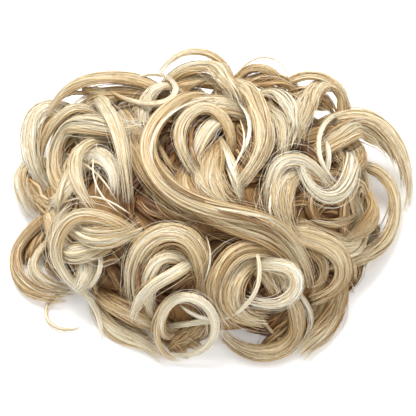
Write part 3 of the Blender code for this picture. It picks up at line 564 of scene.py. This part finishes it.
def net_material():
    """Knotted net: a fine diamond mesh over brown cloth."""
    material, wire, shader = new_material("cap_net", roughness=0.85)
    place = wire.node("ShaderNodeTexCoord", out="Object")
    threads = []
    for turn in (45, -45):
        turned = wire.node("ShaderNodeMapping", Vector=place, Rotation=(0, 0, math.radians(turn)))
        bands = {"wave_type": "BANDS", "bands_direction": "X"}
        threads.append(wire.node("ShaderNodeTexWave", bands, Vector=turned, Scale=130))
    mesh = wire.maths("MAXIMUM", *threads)
    feed(shader, "Base Color", wire.node("ShaderNodeValToRGB", {"stops": NET_STOPS}, Fac=mesh))
    feed(shader, "Normal", wire.node("ShaderNodeBump", Height=mesh, Strength=0.8, Distance=0.6 * MM))
    return material


def elastic_material():
    """Woven elastic: upright ribs round the band."""
    material, wire, shader = new_material("woven_elastic", roughness=0.8)
    place = wire.node("ShaderNodeTexCoord", out="Object")
    right = wire.node("ShaderNodeSeparateXYZ", Vector=place, out="X")
    back = wire.node("ShaderNodeSeparateXYZ", Vector=place, out="Y")
    ribs = wire.maths("SINE", wire.maths("ARCTAN2", back, right) * ELASTIC_RIBS) * 0.5 + 0.5
    feed(shader, "Base Color", wire.node("ShaderNodeValToRGB", {"stops": ELASTIC_STOPS}, Fac=ribs))
    feed(shader, "Normal", wire.node("ShaderNodeBump", Height=ribs, Strength=0.5, Distance=0.4 * MM))
    return material


def comb_material():
    """Moulded brown plastic with faint flow marks."""
    material, wire, shader = new_material("comb_plastic", roughness=0.28)
    place = wire.node("ShaderNodeTexCoord", out="Object")
    flow = wire.node("ShaderNodeTexNoise", Vector=place, Scale=120, Detail=3)
    feed(shader, "Base Color", wire.node("ShaderNodeValToRGB", {"stops": COMB_STOPS}, Fac=flow))
    feed(shader, "Roughness", flow * 0.15 + 0.22)
    return material


def unit(vectors):
    return vectors / np.maximum(np.linalg.norm(vectors, axis=-1, keepdims=True), 1e-12)


def length_of(points):
    return np.linalg.norm(np.diff(points, axis=0), axis=1).sum()


def run_of(points):
    """How far along the line through points each of them lies."""
    return np.r_[0, np.cumsum(np.linalg.norm(np.diff(points, axis=0), axis=1))]


def outward(points):
    return unit(points / NEST_HALVES**2)


def corners_and_faces(obj):
    """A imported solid's own corners, without repeats, and its triangles."""
    mesh = obj.data
    places = np.empty(len(mesh.vertices) * 3, np.float32)
    mesh.vertices.foreach_get("co", places)
    corners, which = np.unique(np.round(places.reshape(-1, 3), 6), axis=0, return_inverse=True)
    faces = np.empty(len(mesh.polygons) * 3, np.int32)
    mesh.polygons.foreach_get("vertices", faces)
    return corners.astype(float), which.reshape(-1)[faces].reshape(-1, 3)


def end_rings(corners, faces):
    """The corners of a tube's two flat ends: patches of coplanar triangles whose corners lie on a circle."""
    first, second, third = (corners[faces[:, k]] for k in range(3))
    normals = unit(np.cross(second - first, third - first))
    beside = defaultdict(list)
    for face, (a, b, c) in enumerate(faces):
        for edge in ((a, b), (b, c), (c, a)):
            beside[frozenset(edge)].append(face)
    patch = list(range(len(faces)))

    def head(face):
        while patch[face] != face:
            face = patch[face]
        return face

    for pair in beside.values():
        if len(pair) == 2 and normals[pair[0]] @ normals[pair[1]] > FLAT_COSINE:
            patch[head(pair[0])] = head(pair[1])
    members = defaultdict(set)
    for face, places in enumerate(faces):
        members[head(face)].update(places)
    for places in members.values():
        places = sorted(places)
        far = np.linalg.norm(corners[places] - corners[places].mean(0), axis=1)
        if len(places) > 4 and np.ptp(far) < ROUND_WITHIN * far.mean():
            yield places


def lock_line(obj):
    """The middle of each ring of a lock's tube, from its root to its tip, and half its width there."""
    corners, faces = corners_and_faces(obj)
    near = defaultdict(set)
    for a, b, c in faces:
        near[a].update((b, c))
        near[b].update((a, c))
        near[c].update((a, b))
    ring = set(next(end_rings(corners, faces)))
    seen, middles, halves = set(), [], []
    while ring:
        places = corners[sorted(ring)]
        middles.append(places.mean(0))
        halves.append(np.linalg.norm(places - places.mean(0), axis=1).mean())
        seen |= ring
        ring = set().union(*(near[corner] for corner in ring)) - seen
    middles, halves = np.array(middles), np.array(halves)
    if halves[0] < halves[-1]:
        middles, halves = middles[::-1], halves[::-1]
    return middles, halves


def through(points, shares):
    """Places on a smooth curve through points, at shares of its length from 0 to 1."""
    run = run_of(points[:, :3])
    slope = np.gradient(points, run, axis=0)
    at = np.clip(shares, 0, 1) * run[-1]
    k = np.clip(np.searchsorted(run, at, side="right") - 1, 0, len(points) - 2)
    span = (run[k + 1] - run[k])[:, None]
    t = ((at - run[k])[:, None]) / span
    return ((2 * t**3 - 3 * t**2 + 1) * points[k] + (t**3 - 2 * t**2 + t) * span * slope[k]
            + (3 * t**2 - 2 * t**3) * points[k + 1] + (t**3 - t**2) * span * slope[k + 1])


def rounded(points, rounds):
    points = points.copy()
    for _ in range(rounds):
        points[1:-1] += ROUNDING * (points[:-2] - 2 * points[1:-1] + points[2:])
    return points


def along(table, shares):
    """A value that changes along a lock, at shares of its length."""
    return np.interp(shares, *table)


def ring_shares(rings):
    """Where about so many rings lie on a path, as shares of its length."""
    return np.linspace(0, 1, max(FEWEST_RINGS, round(rings)))


Path = namedtuple("Path", "line half side out")


def with_sides(line, half):
    """A path with its broad side and its outward side at each point."""
    way = unit(np.gradient(line, axis=0))
    out = outward(line)
    out = out + np.maximum(out @ TOWARDS_CAMERA + LEAN, 0)[:, None] * TOWARDS_CAMERA
    side = rounded(np.cross(way, unit(out)), SIDE_ROUNDS)
    side = unit(side - (side * way).sum(1)[:, None] * way)
    return Path(line, half, side, np.cross(side, way))


def lock_path(obj):
    """A lock's path, run on past its tip and sunk into the nest at its root."""
    middles, halves = lock_line(obj)
    smoothed = along(SMOOTHED, np.arange(len(middles)) / len(middles))[:, None]
    middles = middles + (rounded(middles, LOCK_ROUNDS) - middles) * smoothed
    root = middles[0] + unit(middles[0] - middles[1]) * ROOT_RUN - outward(middles[0]) * ROOT_SINK * ROOT_RUN
    turn = unit(middles[-1] - middles[-2]) * 2 - unit(middles[-2] - middles[-3])
    tip = middles[-1] + unit(turn) * TIP_RUN
    places = np.vstack([root, middles, tip])
    halves = np.r_[halves[0], halves, TIP_HALF * halves[-1]]
    shares = ring_shares(length_of(places) / STEP + 1)
    smooth = through(np.column_stack([places, halves]), shares)
    return with_sides(rounded(smooth[:, :3], 1), smooth[:, 3])


def charted(marks, lift, half):
    """A path through marks on the picture plane, in millimetres, thrown along the eye's rays onto the nest.

    lift is how high it lies above the nest where it starts, in its middle and where it ends.
    """
    marks = np.array(marks, float) * MM
    shares = ring_shares(length_of(marks) / WISP_STEP)
    flat = through(marks, shares)
    height = np.interp(shares, ROOT_MIDDLE_TIP, np.array(lift) * MM)
    eye = CHART_MIDDLE + TOWARDS_CAMERA * CAMERA_DISTANCE
    ray = unit(CHART_MIDDLE + flat[:, :1] * PICTURE_RIGHT + flat[:, 1:] * PICTURE_UP - eye)
    halves = NEST_HALVES + height[:, None]
    start, way = eye / halves, ray / halves
    a, b, c = (way * way).sum(1), (start * way).sum(1), (start * start).sum(1) - 1
    line = eye + ray * ((-b - np.sqrt(np.maximum(b * b - a * c, 0))) / a)[:, None]
    floor = np.clip(height, WISP_LOWEST, WISP_HIGHEST)
    low = line[:, 2] < floor
    line[low] = (eye + ray * ((floor - eye[2]) / ray[:, 2])[:, None])[low]
    return with_sides(rounded(line, WISP_ROUNDS), half * MM * along(WISP_SWELL, shares))


# Tubes of one length: middle lines, half width and half thickness as vectors, tone with any painted shade in
# it, and how far across and along the hair's grain each point is, in millimetres
Tubes = namedtuple("Tubes", "lines across depth tones grain corners")


def tube_mesh(name, groups, material):
    """One mesh of closed tubes from groups of them."""
    places, tones, grains, faces, first = [], [], [], [], 0
    for group in groups:
        count, rings = group.lines.shape[:2]
        corners = group.corners
        angle = np.arange(corners) / corners * 2 * math.pi
        cos, sin = np.cos(angle)[:, None], np.sin(angle)[:, None]
        ring = cos * group.across[..., None, :] + sin * group.depth[..., None, :]
        places.append((group.lines[..., None, :] + ring).reshape(-1, 3))
        tones.append(np.repeat(group.tones.reshape(-1), corners))
        wide = np.linalg.norm(group.across, axis=-1)[..., None] * cos[:, 0] / MM
        run = np.broadcast_to(group.grain[..., 1:], wide.shape)
        grains.append(np.stack([wide + group.grain[..., :1], run, np.zeros_like(wide)], -1).reshape(-1, 3))
        grid = first + np.arange(count * rings * corners).reshape(count, rings, corners)
        here, after = grid[:, :-1], grid[:, 1:]
        faces.append(np.stack([here, np.roll(here, -1, 2), np.roll(after, -1, 2), after], -1).reshape(-1, 4))
        faces.append(np.concatenate([grid[:, 0, ::-1], grid[:, -1]]))
        first += count * rings * corners
    places = np.concatenate(places)
    places[:, 2] = np.maximum(places[:, 2], LOWEST)
    sizes = np.concatenate([np.full(len(part), part.shape[1]) for part in faces])
    loops = np.concatenate([part.ravel() for part in faces])
    mesh = bpy.data.meshes.new(name)
    mesh.vertices.add(len(places))
    mesh.vertices.foreach_set("co", places.astype(np.float32).ravel())
    mesh.loops.add(len(loops))
    mesh.loops.foreach_set("vertex_index", loops.astype(np.int32))
    mesh.polygons.add(len(sizes))
    mesh.polygons.foreach_set("loop_start", np.r_[0, np.cumsum(sizes)[:-1]].astype(np.int32))
    mesh.update(calc_edges=True)
    tones = np.concatenate(tones).astype(np.float32)
    mesh.attributes.new("tone", "FLOAT", "POINT").data.foreach_set("value", tones)
    grains = np.concatenate(grains).astype(np.float32).ravel()
    mesh.attributes.new("grain", "FLOAT_VECTOR", "POINT").data.foreach_set("vector", grains)
    mesh.shade_smooth()
    mesh.materials.append(material)
    obj = bpy.data.objects.new(name, mesh)
    bpy.context.scene.collection.objects.link(obj)
    return obj


def cut_short(values, ending):
    """Each line cut at its own share of the length, with as many points as before."""
    rings = values.shape[1]
    at = np.linspace(0, 1, rings)[None] * ending[:, None] * (rings - 1)
    low = np.minimum(at.astype(int), rings - 2)
    part = (at - low)[..., None]
    row = np.arange(len(values))[:, None]
    return values[row, low] * (1 - part) + values[row, low + 1] * part


Ribbons = namedtuple("Ribbons", "line across face wide thick tones grain")


class Lock:
    """A lock of hair on a path. Its hairs are laid in one order, from one stream of random numbers."""

    def __init__(self, path, random, tone, make):
        self.path = path
        self.random = random
        self.make = make
        self.shares = np.linspace(0, 1, len(path.line))
        self.gather = along(GATHER, self.shares)
        self.size = np.maximum(path.half, path.half.max() * along(TIP_SPREAD, self.shares))[None, :, None]
        self.twist = random.choice([-1, 1]) * random.uniform(*TWIST) * (self.shares - 0.5)
        self.tone = tone + along(TONE_AND_ROOT_SHADE_ALONG, self.shares)
        self.ribbons = self.lay_ribbons()

    def each(self, least_and_most, count):
        """A number for each hair."""
        return self.random.uniform(*least_and_most, (count, 1))

    def spread(self, count, size, mean=0):
        return self.random.normal(mean, size, (count, 1))

    def wave(self, count, size):
        """A slow drift for each hair along it. Numbers are drawn in pairs, and the first of each is used."""
        waves = self.random.uniform(*WAVES, (count, 2))[:, :1]
        phase = self.random.uniform(*ANY_TURN, (count, 2))[:, :1]
        return size * np.sin(2 * math.pi * waves * self.shares + phase)

    def on_section(self, turn, deep):
        """Points round the lock's section by angle and depth, and the way each faces."""
        side, out, wide, thick = self.path.side, self.path.out, self.make.wide, self.make.thick
        cos, sin = np.cos(turn)[..., None], np.sin(turn)[..., None]
        away = self.size * deep[..., None] * (wide * cos * side + thick * sin * out)
        return self.path.line + away, unit(cos / wide * side + sin / thick * out)

    # Painted shade: a hair is darker the further round it lies from the top of the lock's section.
    def with_painted_edge_shade(self, tones, turn):
        return tones - PAINTED_EDGE_SHADE * (1 - np.sin(turn))

    def lay_ribbons(self):
        """Flat ribbons of hair round the lock, some of which stand off from the rest half way."""
        over, under = self.make.ribbons, self.make.under
        count = over + under
        scatter = self.random.normal(0, RIBBON_SCATTER, over)
        turn = np.r_[np.linspace(*RIBBON_ARC_OVER, over) + scatter, np.linspace(*RIBBON_ARC_UNDER, under)]
        turn = turn[:, None] + self.twist + self.wave(count, RIBBON_DRIFT)
        splay = 1 + self.each(RIBBON_SPLAY, count) * self.shares**SPLAY_POWER
        parting = (self.each(ANY_SHARE, count) < RIBBONS_PARTED) * self.each(RIBBON_PARTING, count)
        splay = splay + parting * np.sin(math.pi * self.shares) ** 2
        line, face = self.on_section(turn, self.each(RIBBON_DEPTH, count) * splay * self.gather)
        way = unit(np.gradient(line, axis=1))
        across = unit(np.cross(face, way))
        swell = self.size * along(RIBBON_SWELL, self.shares)[None, :, None]
        girth = (self.make.wide + self.make.thick) * RIBBON_OVERLAP / max(over, RIBBONS_ABREAST)
        wide = swell * self.each(RIBBON_WIDE, count)[..., None] * girth
        thick = swell * self.each(RIBBON_THICK, count)[..., None]
        tones = self.with_painted_edge_shade(self.tone + self.spread(count, RIBBON_TONE), turn)
        grain = np.stack(np.broadcast_arrays(self.each(GRAIN_START, count), run_of(self.path.line) / MM), -1)
        line[..., 2] = np.maximum(line[..., 2], RIBBON_LOWEST)
        return Ribbons(line, across, np.cross(way, across), wide, thick, tones, grain)

    def core_tube(self):
        """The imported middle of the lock."""
        # The middle is darkened as painted shade, under the ribbons.
        size = (self.path.half * along(CORE_SWELL, self.shares))[None, :, None]
        return Tubes(self.path.line[None], self.path.side * size * self.make.wide,
                     self.path.out * size * self.make.thick * CORE_THICK, self.tone[None] - CORE_PAINTED_SHADE,
                     self.ribbons.grain[:1], CORE_CORNERS)

    def ribbon_tubes(self):
        ribbons = self.ribbons
        ends = self.random.uniform(*RIBBON_ENDS, len(ribbons.line))
        return Tubes(cut_short(ribbons.line, ends), ribbons.across * ribbons.wide,
                     ribbons.face * ribbons.thick, ribbons.tones, ribbons.grain, RIBBON_CORNERS)

    def strands_on_ribbons(self):
        """Fine strands, each on one ribbon's face: their lines, sides, faces and tones."""
        count = self.make.strands
        own = self.random.integers(0, self.make.ribbons, count)
        line, across, face, wide, thick, tones, _ = (values[own] for values in self.ribbons)
        aside = (self.each(STRAND_ASIDE, count) + self.wave(count, STRAND_DRIFT))[..., None]
        rise = np.sqrt(np.clip(1 - aside**2, STRAND_LEAST_ROUND, 1)) + STRAND_PROUD
        line = line + across * np.maximum(wide, STRAND_LEAST_ASIDE * self.size) * aside
        line = line + face * rise * np.maximum(thick, STRAND_LEAST_RISE * self.size)
        mean, size = STRAND_TONE
        return line, across, face, tones + self.spread(count, size, mean)

    def strands_across(self):
        """Free strands that drift from one ribbon to the next: the same four."""
        count = self.make.free
        start = self.each(FREE_ARC, count) + self.twist
        turn = start + self.spread(count, FREE_SLANT) * (self.shares - 0.5) + self.wave(count, FREE_DRIFT)
        deep = self.each(FREE_DEPTH, count) + self.wave(count, FREE_HEAVE)
        deep = deep * (1 + self.each(FREE_SPLAY, count) * self.shares**SPLAY_POWER) * self.gather
        line, face = self.on_section(turn, deep)
        side = np.cross(face, unit(np.gradient(line, axis=1)))
        mean, size = FREE_TONE
        return line, side, face, self.with_painted_edge_shade(self.tone + self.spread(count, size, mean), turn)

    def strand_tubes(self):
        """Both kinds of strand, of which a few are darker."""
        both = zip(self.strands_on_ribbons(), self.strands_across())
        line, side, face, tones = (np.concatenate(pair) for pair in both)
        count = len(line)
        tones = tones - STRAND_SHADE * (self.each(ANY_SHARE, count) < STRANDS_DARK)
        thin = (STRAND_HALF * self.each(STRAND_THICK, count) * along(STRAND_SWELL, self.shares))[..., None]
        grain = self.ribbons.grain[:1] + self.each(GRAIN_START, count)[..., None] * [1, 0]
        line[..., 2] = np.maximum(line[..., 2], STRAND_LOWEST)
        line = cut_short(line, self.random.uniform(*STRAND_ENDS, count))
        return Tubes(line, side * thin, face * thin, tones, grain, STRAND_CORNERS)

    def stray_tubes(self):
        """Stray hairs, some of which come back and some of which hang free."""
        count = self.make.loose
        leave = self.each(STRAY_LEAVES, count)
        gone = np.clip((self.shares - leave) / (1 - leave), 0, 1)
        back = self.each(ANY_SHARE, count) < STRAYS_BACK
        away = np.where(back, STRAY_BOW * np.sin(math.pi * gone), gone**STRAY_POWER)
        away = away * self.each(STRAY_AWAY, count)
        turn = self.each(ANY_TURN, count) + self.spread(count, STRAY_SLANT) * self.shares
        line = self.on_section(turn, STRAY_DEPTH + away + self.wave(count, STRAY_HEAVE))[0]
        line[..., 2] = np.maximum(line[..., 2], STRAY_LOWEST)
        thin = (STRAND_HALF * self.each(STRAY_THICK, count) * along(STRAY_SWELL, self.shares))[..., None]
        tones = self.tone + STRAY_TONE + self.spread(count, STRAY_TONE_SPREAD)
        grain = np.repeat(self.ribbons.grain[:1], count, 0)
        return Tubes(line, self.path.side * thin, self.path.out * thin, tones, grain, STRAND_CORNERS)


def lock_tubes(path, random, tone, make):
    """A lock: a packed middle, ribbons of hair round it, strands on and across them, and stray hairs."""
    lock = Lock(path, random, tone, make)
    return [lock.core_tube(), lock.ribbon_tubes(), lock.strand_tubes(), lock.stray_tubes()]


def make_locks(hair):
    """Every curl of the photo, in place of its solid."""
    for number, name in enumerate(sorted(NODES)):
        slot = SLOTS[name]
        if slot not in SLOT_TONES:
            continue
        path = lock_path(NODES[name])
        wide, tones = LOOKS.get(name, (1.0, (SLOT_TONES[slot],) * 3))
        tone = np.interp(np.linspace(0, 1, len(path.line)), ROOT_MIDDLE_TIP, tones)
        half = float(path.half.max()) / MM
        make = Make(LOCK_RIBBONS, LOCK_UNDER, round(half * LOCK_STRANDS), round(half * LOCK_FREE),
                    LOCK_LOOSE, wide * LOCK_WIDE, min(wide, 1.0) * LOCK_THICK)
        groups = lock_tubes(path, np.random.default_rng(LOCK_SEED + number), tone, make)
        piece = tube_mesh(name + "_strands", groups, hair)
        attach(piece, "root")
        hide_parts(name)


def make_wisps(hair):
    """The thin wisps, and the broader bundles behind the curls."""
    random = np.random.default_rng(WISP_SEED)
    groups = []
    for rows, make in ((WISPS, WISP_MAKE), (BUNDLES, BUNDLE_MAKE)):
        for half, tone, lift, marks in rows.values():
            groups += lock_tubes(charted(marks, lift, half), random, tone, make)
    piece = tube_mesh("loose_wisps", groups, hair)
    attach(piece, "root")


def curl_on_nest(random, around, up, kind):
    """A curl lying on the nest: an arc about a point of the dome, lifted a little in its middle."""
    radius = random.uniform(*kind.radius) * MM
    turn = random.choice([-1, 1]) * random.uniform(*kind.turn)
    lift = random.uniform(*kind.lift, 2) * MM
    half = random.uniform(*kind.half) * MM
    middle = NEST_HALVES * [math.cos(up) * math.cos(around), math.cos(up) * math.sin(around), math.sin(up)]
    out = outward(middle)
    first = unit(np.cross(out, ASKEW))
    second = np.cross(out, first)
    shares = ring_shares(abs(turn) * radius / NEST_STEP)
    angle = random.uniform(*ANY_TURN) + turn * shares
    far = radius * (1 - random.uniform(*CURL_CLOSES) * shares)
    flat = middle + far[:, None] * (np.cos(angle)[:, None] * first + np.sin(angle)[:, None] * second)
    height = np.interp(shares, ROOT_MIDDLE_TIP, [CURL_ROOT, *lift])
    line = flat / np.linalg.norm(flat / NEST_HALVES, axis=1)[:, None] + outward(flat) * height[:, None]
    line[:, 2] = np.maximum(line[:, 2], CURL_BEDDED * half)
    path = with_sides(rounded(line, CURL_ROUNDS), half * along(CURL_SWELL, shares))
    return lock_tubes(path, random, random.uniform(*kind.tone), kind.make)


def make_nest_curls(hair):
    """Short curls all over the nest, dark as painted shade, and larger ones low at its sides and back."""
    random = np.random.default_rng(NEST_SEED)
    curls = []
    for _ in range(NEST_CURLS):
        around, up = random.uniform(*ANY_TURN), math.asin(random.uniform(*NEST_CURL_UP))
        curls.append(curl_on_nest(random, around, up, NEST_CURL))
    for number in range(LOW_CURLS):
        share = (number + random.uniform(*LOW_CURL_ASIDE)) / (LOW_CURLS - 1)
        around = math.radians(LOW_CURLS_FROM + LOW_CURLS_SWEEP * share)
        curls.append(curl_on_nest(random, around, LOW_CURL_UP[number % 2], LOW_CURL))
    for part in range(NEST_PIECES):
        piece = tube_mesh(f"nest_curls_{part + 1}", sum(curls[part::NEST_PIECES], []), hair)
        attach(piece, "root")


def dress_solids():
    """The solids that stay as they are: the nest, the cap, its rim and the combs."""
    looks = {"hair_nest": nest_material(), "net_cap": net_material(), "elastic_rim": elastic_material()}
    looks["comb_front"] = looks["comb_back"] = comb_material()
    for name, material in looks.items():
        NODES[name].data.materials.clear()
        NODES[name].data.materials.append(material)


def place_camera():
    right, up = CAMERA_SHIFT
    camera = bpy.data.objects.new("camera", bpy.data.cameras.new("camera"))
    camera.data.sensor_width = SENSOR
    camera.data.lens = SENSOR * CAMERA_DISTANCE / FRAME_WIDE
    aim = CHART_MIDDLE + right * PICTURE_RIGHT + up * PICTURE_UP
    camera.location = aim + TOWARDS_CAMERA * CAMERA_DISTANCE
    camera.rotation_euler = (math.pi / 2 - CAMERA_ELEVATION, 0, 0)
    bpy.context.scene.collection.objects.link(camera)
    bpy.context.scene.camera = camera


def soft_light(name, place, size, power):
    lamp = bpy.data.objects.new(name, bpy.data.lights.new(name, "AREA"))
    lamp.data.size = size
    lamp.data.energy = power
    lamp.location = place
    aim = -np.array(place) / np.linalg.norm(place)
    lamp.rotation_euler = (math.acos(-aim[2]), 0, math.atan2(aim[1], aim[0]) - math.pi / 2)
    bpy.context.scene.collection.objects.link(lamp)


def set_stage():
    """A plain white floor, an even sky and two soft lights."""
    bpy.ops.mesh.primitive_plane_add(size=FLOOR_SIZE, location=(0, 0, 0))
    floor = bpy.context.object
    floor.name = "floor"
    material, _, shader = new_material("white_floor", roughness=0.9)
    shader.inputs["Base Color"].default_value = (FLOOR_WHITE, FLOOR_WHITE, FLOOR_WHITE, 1)
    shader.inputs["Emission Color"].default_value = (1, 1, 1, 1)
    shader.inputs["Emission Strength"].default_value = FLOOR_GLOW
    floor.data.materials.append(material)
    world = bpy.data.worlds.new("studio")
    world.use_nodes = True
    world.node_tree.nodes["Background"].inputs["Color"].default_value = (1, 1, 1, 1)
    world.node_tree.nodes["Background"].inputs["Strength"].default_value = WORLD_LIGHT
    bpy.context.scene.world = world
    bpy.context.scene.view_settings.view_transform = "Standard"
    for name, (place, size, power) in LIGHTS.items():
        soft_light(name, place, size, power)


def main():
    bpy.ops.object.select_all(action="DESELECT")
    hair = hair_material()
    place_camera()
    set_stage()
    dress_solids()
    make_locks(hair)
    make_wisps(hair)
    make_nest_curls(hair)


main()
